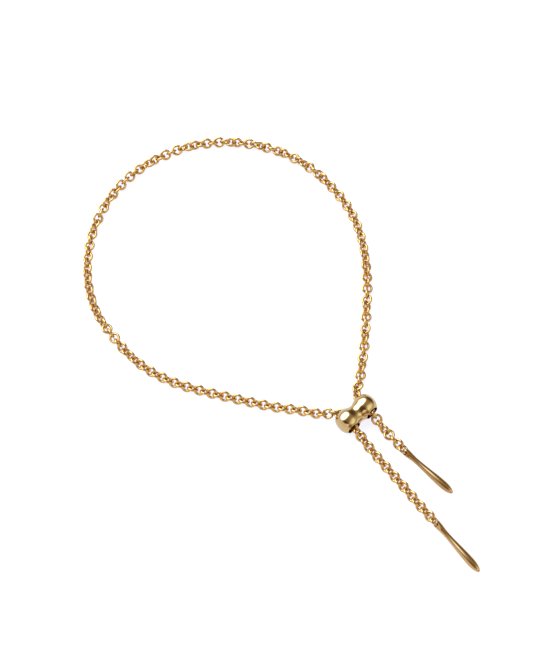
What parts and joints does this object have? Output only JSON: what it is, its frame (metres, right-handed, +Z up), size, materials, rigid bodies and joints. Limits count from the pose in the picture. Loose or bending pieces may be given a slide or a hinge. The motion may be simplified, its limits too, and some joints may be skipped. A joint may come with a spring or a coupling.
{
  "type": "chain bracelet",
  "caption": "Adjustable fine chain bracelet: round-link cable chain run twice through a peanut-shaped slider, with a long slim drop on each loose end, lying open.",
  "frame": {"origin": "on the surface the bracelet lies on, under the middle of its bounding box", "axes": "+Z up from the surface, +Y from the loose ends towards the far side of the loop, X along the slider"},
  "size_m": [0.0572, 0.109, 0.0048],
  "materials": {
    "chain_gold": "tumbled yellow gold",
    "slider_gold": "mirror polished gold",
    "drop_gold": "polished gold"
  },
  "bodies": {
    "root": {"chain": "chain_gold", "slider": "slider_gold", "long_tail_drop": "drop_gold", "short_tail_drop": "drop_gold"}
  },
  "joints": []
}
